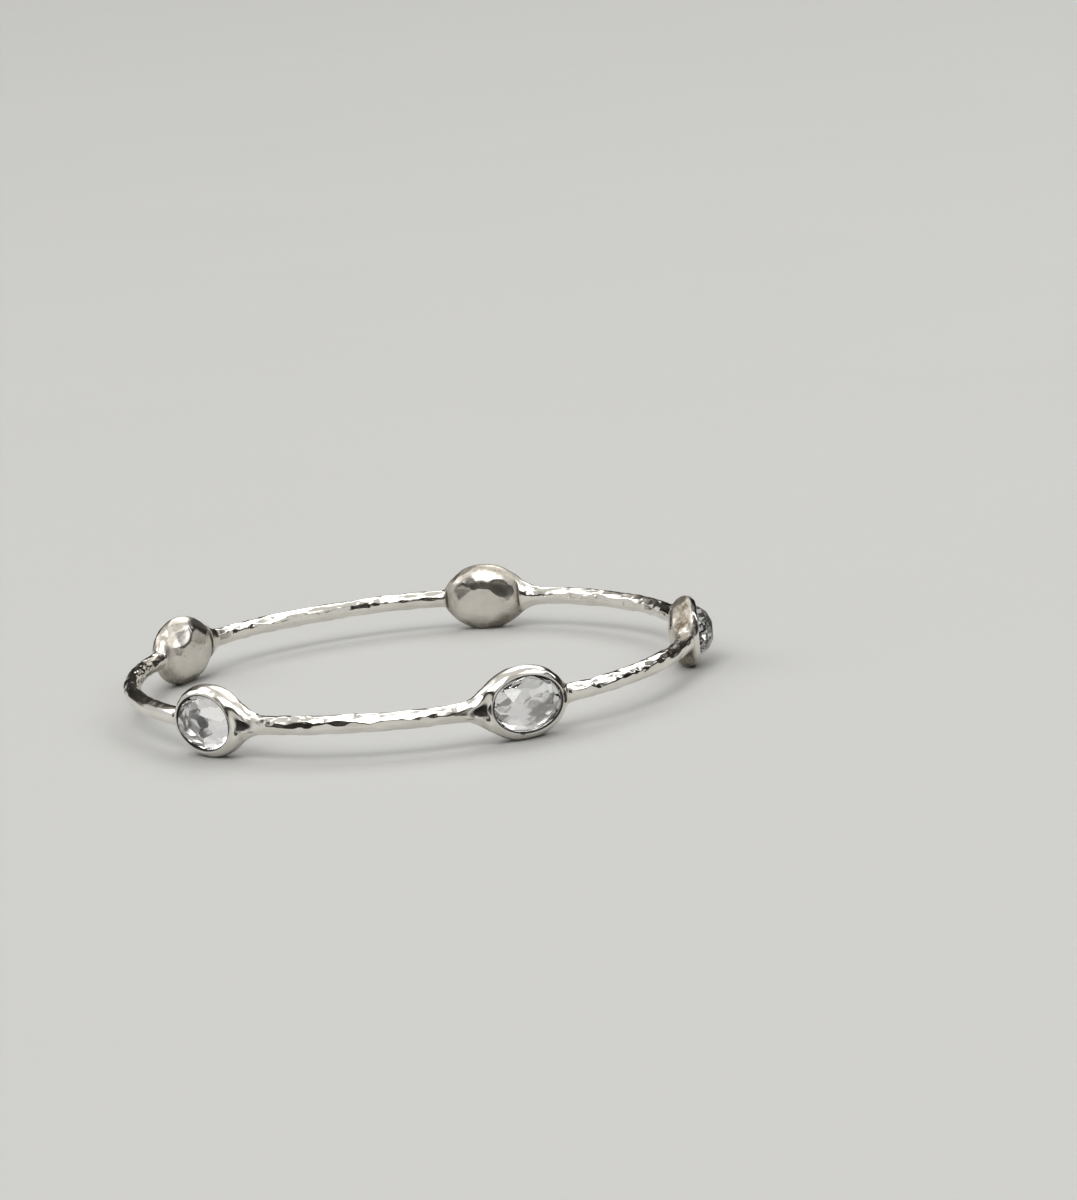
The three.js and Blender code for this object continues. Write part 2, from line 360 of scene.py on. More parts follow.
# sweeps the wire round the hoop's axis from each station's last section to the next station's first
def sweepWire(band):
    radius = wire["hoopRadius"]
    ends = {}
    for name, station in stations.items():
        reachAfter, reachBefore = station["flareReach"], buttSections[-1]["along"]
        if station["flareSide"] < 0:
            reachAfter, reachBefore = reachBefore, reachAfter
        ends[name] = (azimuths[name] - reachBefore / radius, azimuths[name] + reachAfter / radius)
    order = sorted(stations, key=lambda n: azimuths[n] % (2 * math.pi))
    editMode(band, "EDGE")
    for here, there in zip(order, order[1:] + order[:1]):
        start, stop = ends[here][1], ends[there][0]
        sweep = (stop - start) % (2 * math.pi)
        out = Vector((math.sin(start), -math.cos(start), 0))
        across = Vector((math.cos(start), math.sin(start), 0))
        bpy.ops.mesh.select_all(action="DESELECT")
        pick(band, "edges", lambda e: all(abs(v.co @ across) < nearly and v.co @ out > 0 for v in e.verts))
        steps = round(sweep * radius / wire["step"])
        bpy.ops.mesh.spin(steps=steps, angle=-sweep, center=(0, 0, 0), axis=(0, 0, 1))
    bpy.ops.mesh.select_all(action="SELECT")
    bpy.ops.mesh.remove_doubles(threshold=nearly)
    bpy.ops.mesh.normals_make_consistent(inside=False)
    objectMode()


def makeBand():
    cages = [makeStation(name, station) for name, station in stations.items()]
    bpy.ops.object.select_all(action="DESELECT")
    for cage in cages:
        cage.select_set(True)
    bpy.context.view_layer.objects.active = cages[0]
    bpy.ops.object.join()
    band = cages[0]
    band.name = "hammered_band"
    sweepWire(band)
    applyModifier(band, "SUBSURF", levels=wire["levels"], render_levels=wire["levels"])
    return band


band = makeBand()
print("band", len(band.data.vertices), "vertices", len(band.data.polygons), "faces")

# depth and length are the least and the most, in mm, and a pair that fades gives where it starts to and
# where it is done: from a station's middle along the hoop, or for wallLevel out from the wire's centre
blows = {
    "seed": 4,
    "from": 4.0,  # a blow's distance from the wire's middle as it starts
    "asNear": 5.5e-6,  # vertices whose distances differ by less than this are as near
    "lean": 0.04,  # off the skin's normal
    "wireFades": (5.2, 6.6),
    "cupFades": (4.9, 4.0),
    "wallFades": (4.4, 3.6),
    "wallLevel": (0.3, -0.3),
    # the stretch before this station was left smoother
    "smooth": {"before": "stone_front_left", "fades": (18, 13), "share": 0.75},
    # the wire is pebbled by dents in patches about 10 mm wide
    "pebbled": {"perMm": 0.1, "shift": (3, 8, 1), "fades": (-0.15, 0.25)},
    # and its blows are long in some places and short in others, about 8 mm apart
    "patches": {"perMm": 0.13, "middle": 0.5, "swing": 0.9, "spread": 0.2},
    "wire": {"count": 1300, "depth": (0.03, 0.1), "length": (0.9, 2.5)},
    "dents": {"count": 900, "depth": (0.05, 0.12), "length": (0.35, 0.75)},
    "flats": {"count": 90, "depth": (0.12, 0.28), "length": (2.6, 3.8)},
    "cups": {"count": 1000, "depth": (0.015, 0.05), "length": (0.6, 1.3)},
    "nicks": {"count": 60, "depth": (0.03, 0.07), "length": (0.2, 0.35)},
    "margin": 0.3,  # added to a blow's length where the skin it reaches is looked up,
    "innerRadius": 29,  # by its angle round the hoop, seen at this radius
}


def smoothStep(low, high, values):
    share = np.clip((values - low) / (high - low), 0, 1)
    return share * share * (3 - 2 * share)


def vertexNormals(piece):
    normals = np.zeros(len(piece.data.vertices) * 3)
    piece.data.vertices.foreach_get("normal", normals)
    return normals.reshape(-1, 3)


# distance along the hoop from the nearest station's middle, with its sign, and that station's number
def fromStation(places):
    turn = np.arctan2(places[:, 0], -places[:, 1])
    gaps = np.array([(turn - azimuths[n] + math.pi) % (2 * math.pi) - math.pi for n in stations])
    nearest = np.abs(gaps).argmin(0)
    return gaps[nearest, np.arange(len(turn))] * wire["hoopRadius"], nearest


# half heights of the oval at the pocket's wall and inside the lip's edge, and the level of the surface
# halfway between the pocket's floor and the cup's back, at its middle and how it rises from there to the wall
pocketShape = {"wide": 3.2, "lip": 3.27, "middle": -1.9, "rise": 1.1, "power": 4}


# half height of the oval that passes through each place, and its level outwards from the wire's centre,
# both in the nearest station's own straight frame
def onStation(places):
    along, nearest = fromStation(places)
    turn = along / wire["hoopRadius"]
    radius = np.hypot(places[:, 0], places[:, 1])
    across, level = radius * np.sin(turn), radius * np.cos(turn) - wire["hoopRadius"]
    cant = np.radians([s["cant"] for s in stations.values()])[nearest]
    x = across * np.cos(cant) + places[:, 2] * np.sin(cant)
    y = places[:, 2] * np.cos(cant) - across * np.sin(cant)
    wide = pocketShape["wide"]
    return np.hypot(x * wide / (wide + cup["longer"]), y), level


# what lies inside a lip, where the hammer can't reach
def inPocket(places):
    half, level = onStation(places)
    rise = pocketShape["rise"] * (half / pocketShape["wide"]) ** pocketShape["power"]
    return (half < pocketShape["lip"]) & (level > rise + pocketShape["middle"])


pocket = inPocket(readVertices(band))


# vertices nearest to random places round the wire, kept by their likelihood, and of two as near the one
# in front; their numbers aren't drawn directly, as merging and filling number them differently in each run
def randomVertices(rng, tree, likely, count):
    found = []
    while len(found) < count:
        turn, side = rng.uniform(0, 2 * math.pi, 2)
        radius = wire["hoopRadius"] + blows["from"] * math.cos(side)
        at = Vector((radius * math.sin(turn), -radius * math.cos(turn), blows["from"] * math.sin(side)))
        (place, nearest, gap), (other, second, further) = tree.find_n(at, 2)
        if further - gap < blows["asNear"] and other.y < place.y:
            nearest = second
        if rng.random() < likely[nearest]:
            found.append(nearest)
    return found


# a blow moves only skin that faces it, by the cosine between them, and that isn't too many depths above
# its plane, and it fades towards its rim, by the square of the distance over the length
blowFades = {"facing": (0.35, 0.6), "depths": (2.8, 1.6), "rim": (1, 0.8)}


# flattens the skin to a plane sunk by depth under the place struck, which rises again over length
def strike(places, near, strength, facing, centre, normal, depth, length):
    away = places[near] - centre
    height = away @ normal
    flat = (away**2).sum(1) - height**2
    sunk = height + depth * (1 - flat / length**2)
    high, low = blowFades["depths"]
    share = smoothStep(*blowFades["facing"], facing) * smoothStep(high * depth, low * depth, sunk)
    share *= smoothStep(*blowFades["rim"], flat / length**2) * strength[near]
    hit = (sunk > 0) & (share > 0)
    places[near[hit]] -= (sunk * share)[hit, None] * normal


# broad planes filed on one cup's wall: turn goes round the oval from the side of larger azimuth, and
# tilt leans the plane back towards the wrist, both in degrees
planes = {
    "station": "stone_right",
    "half": 3.95,
    "level": -0.7,
    "length": 5.0,
    "fades": (5.0, 4.4),  # along the hoop from the cup's middle
    "foot": {"along": 3, "up": (1.0, 2.2)},  # past along, the planes leave the wire's foot and start above it
    "rows": [
        {"turn": 140, "tilt": 38, "depth": 0.42},
        {"turn": 218, "tilt": 36, "depth": 0.45},
        {"turn": 92, "tilt": 24, "depth": 0.3},
        {"turn": 268, "tilt": 26, "depth": 0.25},
        {"turn": 40, "tilt": 34, "depth": 0.35},
    ],
}


def filePlanes(piece):
    places, normals = readVertices(piece), vertexNormals(piece)
    matrix = stationMatrix(azimuths[planes["station"]])
    along, _ = fromStation(places)
    strength = smoothStep(*planes["fades"], np.abs(along)) * ~pocket
    aboveFoot = smoothStep(*planes["foot"]["up"], np.abs(places[:, 2]))
    strength *= np.where(np.abs(along) > planes["foot"]["along"], aboveFoot, 1)
    near = np.arange(len(places))
    for row in planes["rows"]:
        turn, tilt = math.radians(row["turn"]), math.radians(row["tilt"])
        long = planes["half"] + cup["longer"]
        centre = Vector((long * math.cos(turn), planes["half"] * math.sin(turn), planes["level"]))
        out = Vector((math.cos(turn) * planes["half"] / long, math.sin(turn), 0)).normalized()
        normal = out * math.cos(tilt) - Vector((0, 0, math.sin(tilt)))
        centre, normal = np.array(matrix @ centre), np.array(matrix.to_3x3() @ normal)
        facing = normals @ normal * (np.linalg.norm(places - centre, axis=1) < planes["length"])
        strike(places, near, strength, facing, centre, normal, row["depth"], planes["length"])
    writeVertices(piece, places)


# how much each kind of blow moves the skin at each vertex, and how likely it is to start there
def blowKinds(places):
    along, nearest = fromStation(places)
    _, level = onStation(places)
    onWire = smoothStep(*blows["wireFades"], np.abs(along))
    smooth, pebbled = blows["smooth"], blows["pebbled"]
    before = (nearest == list(stations).index(smooth["before"])) & (along < 0)
    onWire *= np.where(before, 1 - smooth["share"] * smoothStep(*smooth["fades"], -along), 1)
    onCup = smoothStep(*blows["cupFades"], np.abs(along)) * ~pocket
    onWall = onCup * smoothStep(*blows["wallFades"], np.abs(along)) * smoothStep(*blows["wallLevel"], level)
    shift = Vector(pebbled["shift"])
    patches = np.array([noise.noise(Vector(p) * pebbled["perMm"] + shift) for p in places])
    return {
        "flats": (onWall, onWall),
        "cups": (onCup, onCup),
        "nicks": (onCup, onCup),
        "wire": (onWire, onWire),
        "dents": (onWire, onWire * smoothStep(*pebbled["fades"], patches)),
    }


def hammer(piece):
    rng = np.random.default_rng(blows["seed"])
    before, normals = readVertices(piece), vertexNormals(piece)
    tree = KDTree(len(before))
    for i, place in enumerate(before):
        tree.insert(place, i)
    tree.balance()
    places = before.copy()
    turn = np.arctan2(before[:, 0], -before[:, 1])
    order = np.argsort(turn)
    sortedTurn = turn[order]
    patches = blows["patches"]
    for kind, (strength, likely) in blowKinds(before).items():
        spec = blows[kind]
        for i in randomVertices(rng, tree, likely, spec["count"]):
            patch = patches["middle"] + patches["swing"] * noise.noise(Vector(before[i]) * patches["perMm"])
            share = np.clip(patch + rng.normal(0, patches["spread"]), 0, 1)
            length = spec["length"][0] + (spec["length"][1] - spec["length"][0]) * share
            depth = rng.uniform(*spec["depth"])
            reach = (length + blows["margin"]) / blows["innerRadius"]
            low, high = np.searchsorted(sortedTurn, (turn[i] - reach, turn[i] + reach))
            normal = normals[i] + rng.normal(0, blows["lean"], 3)
            normal /= np.linalg.norm(normal)
            near = order[low:high]
            strike(places, near, strength, normals[near] @ normal, before[i], normal, depth, length)
    writeVertices(piece, places)


# the whole band is a little uneven, as hand work is: waves about 5 mm and 1.3 mm long, height in mm
waves = [
    {"perMm": 0.22, "shift": (0, 0, 0), "height": 0.05},
    {"perMm": 0.75, "shift": (9, 3, 5), "height": 0.022},
]


def unevenness(piece):
    places, normals = readVertices(piece), vertexNormals(piece)
    for i, place in enumerate(places):
        if not pocket[i]:
            rise = [w["height"] * noise.noise(Vector(place) * w["perMm"] + Vector(w["shift"])) for w in waves]
            places[i] += normals[i] * sum(rise)
    writeVertices(piece, places)


unevenness(band)
filePlanes(band)
hammer(band)
print("band hammered")


# how hollow the skin is at each vertex, from its neighbours, smoothed
def hollowness(piece, rounds):
    places, normals = readVertices(piece), vertexNormals(piece)
    edges = np.zeros(len(piece.data.edges) * 2, dtype=np.int64)
    piece.data.edges.foreach_get("vertices", edges)
    edges = edges.reshape(-1, 2)
    a, b = np.r_[edges[:, 0], edges[:, 1]], np.r_[edges[:, 1], edges[:, 0]]
    count = np.bincount(a, minlength=len(places))
    rise = np.bincount(a, ((places[b] - places[a]) * normals[a]).sum(1), len(places)) / count
    for _ in range(rounds):
        rise = (rise + np.bincount(a, rise[b], len(places)) / count) / 2
    return rise


def storeLayer(piece, name, values):
    layer = piece.data.attributes.new(name, "FLOAT", "POINT")
    layer.data.foreach_set("value", np.clip(values, 0, 1).astype(np.float32))


# where each finish starts and where it is full, in mm: along is from a station's middle, level is
# outwards from the wire's centre, half is the oval's half height and rise is over the neighbours' mean
finishes = {
    "rounds": 3,  # of smoothing for the hollows
    "behind": 0.78,  # level under which the pocket is behind the stone
    "cast": {"level": (0.7, 0.0), "along": (5.3, 4.6)},
    "rubbed": {"level": (-1.3, -2.0), "share": 0.7},  # the back was rubbed smoother than the sides,
    "worn": {"rise": (0.014, 0.032), "share": 0.8},  # and the edges between planes are worn bright
    "tarnish": (0.004, 0.03),
    # the crotch and the lip's edge against the stone are painted black as shade
    "crotch": {"level": (0.92, 0.74), "above": -0.4, "past": 4.3, "along": (6.9, 6.0), "up": (0.85, 0.55)},
    "lipEdgeShade": {"half": (3.16, 3.05), "level": (0.74, 0.8)},  # the lip's edge against the stone
}


# rough casting skin on the cups' walls, bright silver behind the stones, tarnish in the hollows, and painted
# shade:
# black in the crotches and against the stones
def storeLayers(piece):
    places = readVertices(piece)
    along, nearest = fromStation(places)
    half, level = onStation(places)
    hollows = hollowness(piece, finishes["rounds"])
    behind = pocket & (level < finishes["behind"])
    cast, rubbed, worn = finishes["cast"], finishes["rubbed"], finishes["worn"]
    wall = smoothStep(*cast["level"], level) * smoothStep(*cast["along"], np.abs(along))
    wall *= 1 - rubbed["share"] * smoothStep(*rubbed["level"], level)
    wall *= 1 - worn["share"] * smoothStep(*worn["rise"], -hollows)
    wall *= np.array([s["skin"] for s in stations.values()])[nearest]
    storeLayer(piece, "cast", np.where(behind, 0, wall))
    storeLayer(piece, "pocket", behind * 1.0)
    storeLayer(piece, "tarnish", np.where(behind, 0, smoothStep(*finishes["tarnish"], hollows)))
    # painted shade: black down in the crotch and along the lip's edge against the stone
    crook, lipEdgeShade = finishes["crotch"], finishes["lipEdgeShade"]
    sink = np.hypot(places[:, 0], places[:, 1]) - wire["hoopRadius"]
    onFlare = along * np.array([s["flareSide"] for s in stations.values()])[nearest] > crook["past"]
    dark = smoothStep(*crook["level"], sink) * (sink > crook["above"])
    dark *= smoothStep(*crook["along"], np.abs(along))
    dark *= onFlare * smoothStep(*crook["up"], np.abs(places[:, 2]))
    rim = smoothStep(*lipEdgeShade["half"], half) * smoothStep(*lipEdgeShade["level"], level)
    storeLayer(piece, "black", np.maximum(dark, rim))


storeLayers(band)


# brings a piece from millimetres about the hoop's centre to its place in metres
def toPlace(piece):
    piece.data.transform(Matrix.Scale(mm, 4) @ Matrix.Translation(hoopCentre))
    piece.data.update()


floorGap = 0.002  # mm; nothing of the band goes through the floor it rests on


def keepAbove(piece):
    places = readVertices(piece)
    places[:, 2] = np.maximum(places[:, 2], -hoopCentre.z + floorGap)
    writeVertices(piece, places)


keepAbove(band)
toPlace(band)
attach(band, "root")
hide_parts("band")
print("band done")

# cut round from a disc of the oval's width and then stretched to its length, in mm and degrees: slope is
# from flat, and through is the distance from the middle and the level above the girdle of a facet's middle
crystal = {
    "seed": 40,
    "length": 8.2,
    "width": 6.2,
    "girdle": 0.5,  # its upper edge, above the wire's centre
    "thickness": 0.2,  # of the girdle
    "corners": 48,
    "table": 2.13,  # its level above the girdle
    "depth": 1.5,  # of the pavilion under the girdle
    "crown": [
        {"count": 7, "turn": 0.5, "slope": 30, "through": (0.95, 2.13)},
        {"count": 8, "turn": 0.0, "slope": 46, "through": (1.86, 1.6)},
        {"count": 8, "turn": 0.5, "slope": 56, "through": (2.42, 0.98)},
        {"count": 16, "turn": 0.5, "slope": 66, "through": (2.84, 0.34)},
    ],
    "pavilion": [
        {"count": 16, "turn": 0.5, "slope": -62, "through": (2.93, -0.35)},
        {"count": 8, "turn": 0.0, "slope": -38, "through": (2.3, -1.08)},
    ],
    "back": {"count": 5, "turn": 0.5, "through": (1.3, -1.5)},  # its slope is the station's backSlope
    "missed": {"turn": 2.5, "slope": 1.6, "distance": 0.025, "farthest": 0.03},  # the cutter's usual errors
    "merge": 0.004,
    "edge": 0.014,  # width of the bevel on the edges
    "sharp": 0.12,  # radians; a flatter edge isn't bevelled
}


def cutFacet(slope, azimuth, distance, level):
    out = Vector((math.cos(azimuth), math.sin(azimuth), 0))
    normal = out * math.sin(abs(slope)) + Vector((0, 0, math.copysign(math.cos(slope), slope)))
    at = out * distance + Vector((0, 0, level))
    bpy.ops.mesh.select_all(action="SELECT")
    bpy.ops.mesh.bisect(plane_co=at, plane_no=normal, use_fill=True, clear_outer=True)


def makeStone(name, seed):
    rng, missed = np.random.default_rng(seed), crystal["missed"]
    half = crystal["width"] / 2
    top, bottom = crystal["table"], -crystal["thickness"] - crystal["depth"]
    middle, tall = (0, 0, (top + bottom) / 2), top - bottom
    bpy.ops.mesh.primitive_cylinder_add(vertices=crystal["corners"], radius=half, depth=tall, location=middle)
    piece = bpy.context.object
    piece.name = "cut_" + name
    bpy.ops.object.transform_apply(location=True, rotation=True, scale=True)
    editMode(piece)
    back = crystal["back"] | {"slope": -stations[name]["backSlope"]}
    for tier in crystal["crown"] + crystal["pavilion"] + [back]:
        distance, level = tier["through"]
        for i in range(tier["count"]):
            turn = 2 * math.pi * (i + tier["turn"]) / tier["count"]
            turn += math.radians(rng.normal(0, missed["turn"]))
            slope = math.radians(tier["slope"] + rng.normal(0, missed["slope"]))
            further = min(rng.normal(0, missed["distance"]), missed["farthest"])
            cutFacet(slope, turn, distance + further, level)
    bpy.ops.mesh.select_all(action="SELECT")
    bpy.ops.mesh.remove_doubles(threshold=crystal["merge"])
    bpy.ops.transform.resize(value=(crystal["length"] / crystal["width"], 1, 1), center_override=(0, 0, 0))
    bpy.ops.transform.translate(value=(0, 0, crystal["girdle"]))
    bpy.ops.mesh.normals_make_consistent(inside=False)
    objectMode()
    width, sharp = crystal["edge"], crystal["sharp"]
    applyModifier(piece, "BEVEL", width=width, segments=1, limit_method="ANGLE", angle_limit=sharp)
    piece.data.transform(Matrix.Rotation(math.radians(stations[name]["cant"]), 4, "Z"))
    placeStation(piece, azimuths[name])
    toPlace(piece)
    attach(piece, "root")
    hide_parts(name)
    return piece


cutStones = [makeStone(name, crystal["seed"] + i) for i, name in enumerate(stations)]
print("stones", [len(piece.data.polygons) for piece in cutStones])


# adds a node with its settings and links, and returns one of its outputs; the inputs, by name or number or
# listed from the first, are numbers, colours or other nodes' outputs
def addNode(tree, kind, inputs=(), output=0, **settings):
    node = tree.nodes.new("ShaderNode" + kind)
    for key, value in settings.items():
        setattr(node, key, value)
    for key, value in inputs.items() if isinstance(inputs, dict) else enumerate(inputs):
        if isinstance(value, bpy.types.NodeSocket):
            tree.links.new(value, node.inputs[key])
        else:
            node.inputs[key].default_value = value
    return node.outputs[output]


asColour = {"output": 2, "data_type": "RGBA"}  # for a Mix node, whose share is input 0 and colours 6 and 7


# a new material, its nodes and its shader's inputs
def startMaterial(name):
    made = bpy.data.materials.new(name)
    made.use_nodes = True
    return made, made.node_tree, made.node_tree.nodes["Principled BSDF"].inputs


# painted shade: small black spots where the wire butts against a cup, in a notch of the lip and beside the
# crotches;
# place from the station, in mm along the hoop, up, and out from the wire's centre; size is the mark's radius
# and share its darkness
marks = [
    {"station": "stone_front_right", "at": (4.16, 0.68, 1.2), "size": 0.3, "share": 0.9},
    {"station": "stone_front_right", "at": (4.2, 0.36, 1.2), "size": 0.4, "share": 1.0},
    {"station": "stone_front_right", "at": (4.22, 0.02, 1.2), "size": 0.42, "share": 1.0},
    {"station": "stone_front_right", "at": (4.2, -0.34, 1.2), "size": 0.36, "share": 1.0},
    {"station": "stone_front_right", "at": (-0.8, -2.98, 1.03), "size": 0.28, "share": 1.0},
    {"station": "stone_front_right", "at": (-0.98, -2.96, 1.03), "size": 0.28, "share": 1.0},
    {"station": "stone_front_right", "at": (-5.9, -0.15, 0.8), "size": 0.45, "share": 0.85},
    {"station": "stone_front_left", "at": (6.05, 0.05, 0.85), "size": 0.42, "share": 0.95},
]


# a mark's place in metres
def markPlace(mark):
    along, up, level = mark["at"]
    turn = azimuths[mark["station"]] + along / wire["hoopRadius"]
    return (hoopCentre + stationMatrix(turn) @ Vector((0, up, level))) * mm


# each noise's Scale is how many features there are to a metre, with their size beside it; the black is
# painted shade, and its ragged is how far a mark's edge wanders, and core the share of its radius that is
# full
silverLook = {
    "polished": {"bright": "#F1EEE8", "dull": "#E5E1D9", "roughness": (0.1, 0.2)},
    "castSkin": {"dark": "#665C4D", "pale": "#968C7C", "roughness": 0.5, "least": 0.68},
    "pocket": {"colour": "#FAFAFA", "roughness": 0.13},  # bright behind the stone
    "tarnish": {"colour": "#5C554E", "share": 0.8},
    "black": {"colour": "#1B1815", "roughness": 0.55, "metallic": 0.1, "ragged": 0.06 * mm, "core": 0.5},
    "clouds": {"Scale": 160, "Detail": 2, "Roughness": 0.5},  # 6 mm
    "blotches": {"Scale": 700, "Detail": 4, "Roughness": 0.6},  # 1.4 mm
    "pits": {"Scale": 2600, "Detail": 3, "Roughness": 0.6},  # 0.4 mm
    "grain": {"Scale": 9000, "Detail": 2, "Roughness": 0.5},  # 0.1 mm
    "pitBump": {"Strength": 0.5, "Distance": 0.12 * mm},
    "grainBump": {"Strength": 0.12, "Distance": 0.02 * mm},
}


# Sterling silver, cast and then hammered and polished by hand: bright and warm white on the struck
# faces, grey-brown and pitted where the casting skin was left, tarnished in the hollows. Black is painted
# shade in the crotches, against the stones and in small spots.
def silverMaterial():
    made, tree, shader = startMaterial("hammered sterling silver")
    where = addNode(tree, "TexCoord", output="Object")
    # a noise keeps mostly within 0.15 of a half, so about that range is spread out below
    clouds, blotches, pits, grain = (
        addNode(tree, "TexNoise", {"Vector": where} | silverLook[name])
        for name in ("clouds", "blotches", "pits", "grain")
    )
    cast, tarnish, pocket, black = (
        addNode(tree, "Attribute", output="Fac", attribute_name=name)
        for name in ("cast", "tarnish", "pocket", "black")
    )

    # the skin is thinner in blotches
    castSkin = silverLook["castSkin"]
    thinned = addNode(tree, "MapRange", (blotches, 0.35, 0.65, castSkin["least"], 1))
    cast = addNode(tree, "Math", (cast, thinned), operation="MULTIPLY")

    # the spots of painted shade have ragged edges
    paintedShade = silverLook["black"]
    ragged = addNode(tree, "MapRange", (pits, 0.35, 0.65, -paintedShade["ragged"], paintedShade["ragged"]))
    for mark in marks:
        size = mark["size"] * mm
        away = addNode(tree, "VectorMath", (where, markPlace(mark)), "Value", operation="DISTANCE")
        away = addNode(tree, "Math", (away, ragged), operation="ADD")
        spot = addNode(tree, "MapRange", (away, paintedShade["core"] * size, size, mark["share"], 0))
        black = addNode(tree, "Math", (black, spot), operation="MAXIMUM")

    polished = silverLook["polished"]
    bright, dull = linear(polished["bright"]), linear(polished["dull"])
    cloudy = addNode(tree, "MapRange", (clouds, 0.35, 0.65, 0, 1))
    silver = addNode(tree, "Mix", {0: cloudy, 6: bright, 7: dull}, **asColour)
    dark, pale = linear(castSkin["dark"]), linear(castSkin["pale"])
    pitted = addNode(tree, "MapRange", (pits, 0.4, 0.6, 0, 1))
    skin = addNode(tree, "Mix", {0: pitted, 6: dark, 7: pale}, **asColour)
    dimmed = addNode(tree, "MapRange", (tarnish, 0, 1, 0, silverLook["tarnish"]["share"]))
    colour = addNode(tree, "Mix", {0: cast, 6: silver, 7: skin}, **asColour)
    # the last layer is black painted as shade
    for share, layer in ((pocket, "pocket"), (dimmed, "tarnish"), (black, "black")):
        over = linear(silverLook[layer]["colour"])
        colour = addNode(tree, "Mix", {0: share, 6: colour, 7: over}, **asColour)
    tree.links.new(colour, shader["Base Color"])
    tree.links.new(addNode(tree, "MapRange", (black, 0, 1, 1, paintedShade["metallic"])), shader["Metallic"])

    rough = addNode(tree, "MapRange", (clouds, 0.35, 0.7, *polished["roughness"]))
    for share, layer in ((cast, "castSkin"), (black, "black"), (pocket, "pocket")):
        over = silverLook[layer]["roughness"]
        rough = addNode(tree, "Mix", {0: share, 2: rough, 3: over}, data_type="FLOAT")
    tree.links.new(rough, shader["Roughness"])

    pitting = addNode(tree, "Math", (pits, cast), operation="MULTIPLY")
    normal = addNode(tree, "Bump", {"Height": pitting} | silverLook["pitBump"], "Normal")
    normal = addNode(tree, "Bump", {"Height": grain, "Normal": normal} | silverLook["grainBump"], "Normal")
    tree.links.new(normal, shader["Normal"])
    return made


crystalLook = {
    "ior": 1.544,
    "clear": "#FFFFFF",
    "veiled": "#F1F0EE",
    "veils": {"Scale": 420, "Detail": 4, "Roughness": 0.6},  # 2.4 mm
    "wear": 0.03,
}


# Rock crystal, cut and polished: water clear, with a faint veil inside and hairline wear on the facets.
def crystalMaterial():
    made, tree, shader = startMaterial("rock crystal")
    where = addNode(tree, "TexCoord", output="Object")
    veils = addNode(tree, "TexNoise", {"Vector": where} | crystalLook["veils"])
    veiled = addNode(tree, "MapRange", (veils, 0.5, 0.75, 0, 1))
    clear, milky = linear(crystalLook["clear"]), linear(crystalLook["veiled"])
    tree.links.new(addNode(tree, "Mix", {0: veiled, 6: clear, 7: milky}, **asColour), shader["Base Color"])
    shader["Transmission Weight"].default_value = 1
    shader["IOR"].default_value = crystalLook["ior"]
    worn = addNode(tree, "MapRange", (veils, 0.45, 0.8, 0, crystalLook["wear"]))
    tree.links.new(worn, shader["Roughness"])
    return made


def dress(piece, material):
    piece.data.materials.clear()
    piece.data.materials.append(material)


silver, quartz = silverMaterial(), crystalMaterial()
dress(band, silver)
onlyActive(band)
bpy.ops.object.shade_smooth()
for piece in cutStones:
    dress(piece, quartz)
    onlyActive(piece)
    bpy.ops.object.shade_flat()
print("materials done")

# distance, lens and sensor in mm and angles in degrees; yaw and pitch turn it aside from the hoop's centre
camera = {
    "distance": 400,
    "elevation": 12.05,
    "roll": -6,
    "yaw": -2.06,
    "pitch": 0.9,
    "lens": 106.2,
    "sensor": 36,
    "sees": (0.01, 100),  # from and to, in metres
}


def makeCamera():
    bpy.ops.object.camera_add()
    made = bpy.context.object
    made.data.lens = camera["lens"]
    made.data.sensor_width = camera["sensor"]
    made.data.clip_start, made.data.clip_end = camera["sees"]
    lift = math.radians(camera["elevation"])
    back = Vector((0, -math.cos(lift), math.sin(lift)))
    aim = (-back).to_track_quat("-Z", "Y").to_matrix()
    aim = aim @ Matrix.Rotation(math.radians(camera["roll"]), 3, "Z")
    aim = aim @ Matrix.Rotation(math.radians(camera["yaw"]), 3, "Y")
    aim = aim @ Matrix.Rotation(math.radians(camera["pitch"]), 3, "X")
    made.matrix_world = Matrix.Translation((hoopCentre + back * camera["distance"]) * mm) @ aim.to_4x4()
    bpy.context.scene.camera = made


makeCamera()


floorLook = {
    "radius": 30,  # metres, past all that the camera sees
    "sides": 96,
    "pale": "#AEAEAC",
    "paler": "#AFAFAD",
    "mottle": {"Scale": 9, "Detail": 3, "Roughness": 0.5},  # 110 mm
    "roughness": 0.7,
    "specular": 0.15,
}


# A plain pale floor; its faint mottle keeps it from looking like paper.
def floorMaterial():
    made, tree, shader = startMaterial("pale floor")
    where = addNode(tree, "TexCoord", output="Object")
    mottle = addNode(tree, "TexNoise", {"Vector": where} | floorLook["mottle"])
    share = addNode(tree, "MapRange", (mottle, 0.3, 0.7, 0, 1))
    pale, paler = linear(floorLook["pale"]), linear(floorLook["paler"])
    tree.links.new(addNode(tree, "Mix", {0: share, 6: pale, 7: paler}, **asColour), shader["Base Color"])
    shader["Roughness"].default_value = floorLook["roughness"]
    shader["Specular IOR Level"].default_value = floorLook["specular"]
    return made


bpy.ops.mesh.primitive_circle_add(vertices=floorLook["sides"], radius=floorLook["radius"], fill_type="NGON")
floor = bpy.context.object
floor.name = "floor"
dress(floor, floorMaterial())


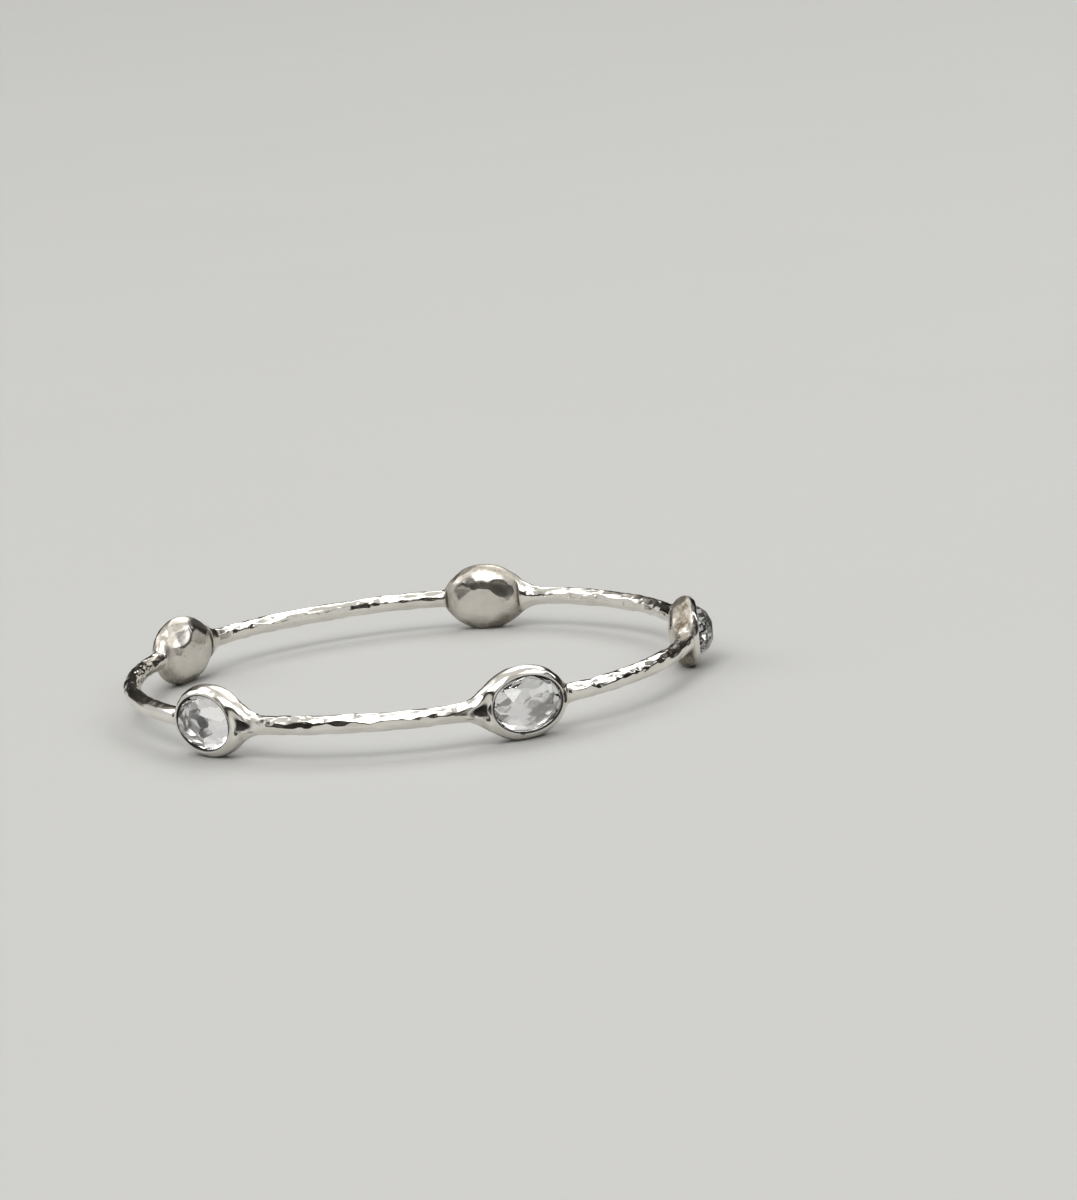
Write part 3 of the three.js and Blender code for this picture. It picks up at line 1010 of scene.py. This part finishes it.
# what the silver mirrors besides the floor: a dark band near the horizon and a grey ceiling, both uneven,
# and pale panels; azimuth is 0 at the camera's side and 90 on the right, and angles are in degrees
room = {
    "ramp": [
        (0.0, "#6A665F"),
        (0.05, "#2E2B27"),
        (0.28, "#1B1917"),
        (0.46, "#4A4641"),
        (0.6, "#B7B5B0"),
        (1.0, "#D9D8D4"),
    ],
    "uneven": 0.07,
    "patches": {"Scale": 3.2, "Detail": 2, "Roughness": 0.5},  # to the sphere's radius
    "panels": [
        {"azimuth": -22, "elevation": 52, "radius": 24, "strength": 2.6},
        {"azimuth": 75, "elevation": 46, "radius": 18, "strength": 1.9},
        {"azimuth": 165, "elevation": 50, "radius": 22, "strength": 2.2},
        {"azimuth": -112, "elevation": 40, "radius": 20, "strength": 1.6},
        {"azimuth": -100, "elevation": 10, "radius": 34, "strength": 0.6},
        {"azimuth": 48, "elevation": 12, "radius": 20, "strength": 0.6},
    ],
    "softEdge": (1.12, 0.88),  # times a panel's radius
    "inStone": {"colour": "#CFCECA", "share": 0.35},  # a softer room in the stones
    "seen": "#D0D0CB",  # by the camera
}


def direction(azimuth, elevation):
    turn, lift = math.radians(azimuth), math.radians(elevation)
    return (math.sin(turn) * math.cos(lift), -math.cos(turn) * math.cos(lift), math.sin(lift))


# a soft room: pale to the eye, and in the silver a room with panels
def makeWorld():
    world = bpy.data.worlds.new("studio")
    bpy.context.scene.world = world
    world.use_nodes = True
    tree = world.node_tree
    where = addNode(tree, "TexCoord", output="Generated")
    height = addNode(tree, "SeparateXYZ", (where,), "Z")
    patches = addNode(tree, "TexNoise", {"Vector": where} | room["patches"])
    uneven = addNode(tree, "MapRange", (patches, 0.3, 0.7, -room["uneven"], room["uneven"]))
    light = addNode(tree, "ValToRGB", (addNode(tree, "Math", (height, uneven), operation="ADD"),))
    stops = light.node.color_ramp.elements
    while len(stops) < len(room["ramp"]):
        stops.new(0.5)
    for stop, (at, code) in zip(stops, room["ramp"]):
        stop.position, stop.color = at, linear(code)
    outer, inner = room["softEdge"]
    for panel in room["panels"]:
        toward = direction(panel["azimuth"], panel["elevation"])
        facing = addNode(tree, "VectorMath", (where, toward), "Value", operation="DOT_PRODUCT")
        edge = math.radians(panel["radius"])
        fade = (math.cos(edge * outer), math.cos(edge * inner))
        glow = addNode(tree, "MapRange", (facing, *fade, 0, panel["strength"]))
        light = addNode(tree, "VectorMath", (light, glow), operation="ADD")
    inStone = addNode(tree, "LightPath", output="Is Transmission Ray")
    inStone = addNode(tree, "MapRange", (inStone, 0, 1, 0, room["inStone"]["share"]))
    light = addNode(tree, "Mix", {0: inStone, 6: light, 7: linear(room["inStone"]["colour"])}, **asColour)
    seen = addNode(tree, "LightPath", output="Is Camera Ray")
    light = addNode(tree, "Mix", {0: seen, 6: light, 7: linear(room["seen"])}, **asColour)
    tree.links.new(light, tree.nodes["Background"].inputs["Color"])


makeWorld()

# place and size in metres and power in watts; each looks at the middle of the floor
lamps = [
    {"name": "overhead", "place": (-0.5, -0.9, 1.9), "size": (0.9, 0.7), "power": 8, "colour": "#FFFDF8"},
    {"name": "side", "place": (1.7, 0.6, 1.0), "size": (0.3, 0.9), "power": 2, "colour": "#F6F9FF"},
]


def makeLamp(spec):
    bpy.ops.object.light_add(type="AREA", location=spec["place"])
    lamp = bpy.context.object
    lamp.name = spec["name"]
    lamp.data.shape = "RECTANGLE"
    lamp.data.size, lamp.data.size_y = spec["size"]
    lamp.data.energy = spec["power"]
    lamp.data.color = linear(spec["colour"])[:3]
    lamp.rotation_euler = Vector(spec["place"]).to_track_quat("Z", "Y").to_euler()


for spec in lamps:
    makeLamp(spec)

view = bpy.context.scene.view_settings
view.view_transform = "Standard"
view.look = "None"
print("camera and studio done")
